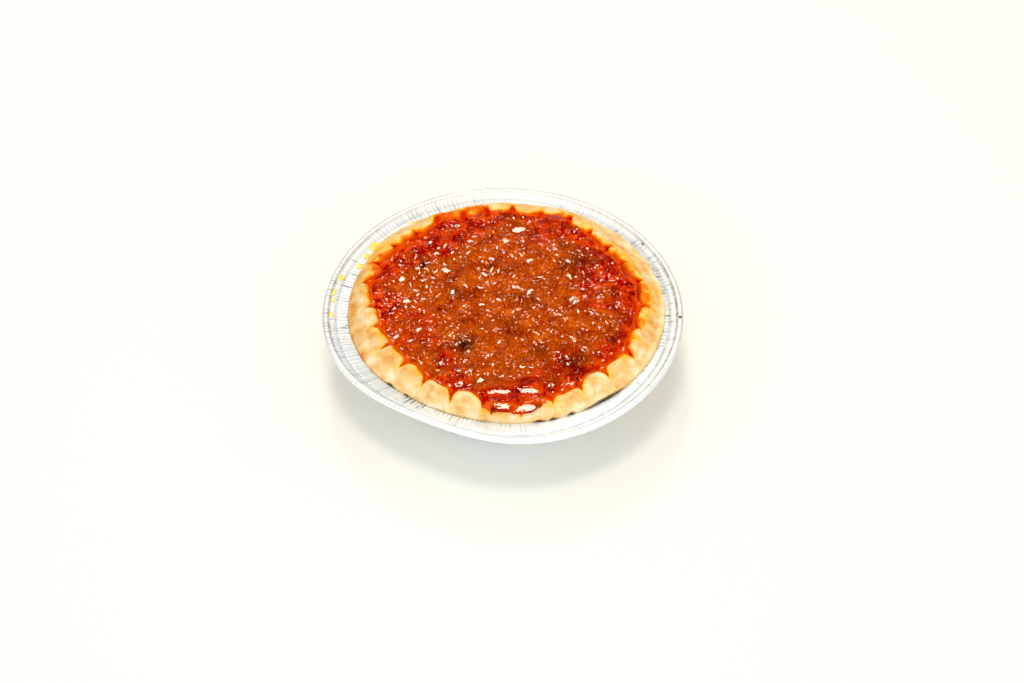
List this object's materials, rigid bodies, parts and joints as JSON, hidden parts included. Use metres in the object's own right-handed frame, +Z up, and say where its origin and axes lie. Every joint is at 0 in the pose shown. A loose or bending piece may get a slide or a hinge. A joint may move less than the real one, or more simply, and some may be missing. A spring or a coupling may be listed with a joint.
{
  "type": "butter tart",
  "caption": "Round butter tart: glossy craggy caramel filling baked in a fluted pastry shell, in its own pleated foil tin with a rolled rim.",
  "frame": {"origin": "centre of the tin's flat underside", "axes": "+Z up out of the filling, -Y towards the side that the picture was taken from, +X to the right"},
  "size_m": [0.084, 0.0833, 0.0225],
  "materials": {
    "foil": "bright thin foil, finely pleated and crimped",
    "pastry": "pale gold baked pastry, matt and slightly crumbly, browner at its edge and stained by the filling",
    "filling": "set caramel, orange brown to deep red, wet gloss over a pitted craggy top"
  },
  "bodies": {
    "root": {"foil_tin": "foil", "pastry_shell": "pastry", "filling": "filling"}
  },
  "joints": []
}
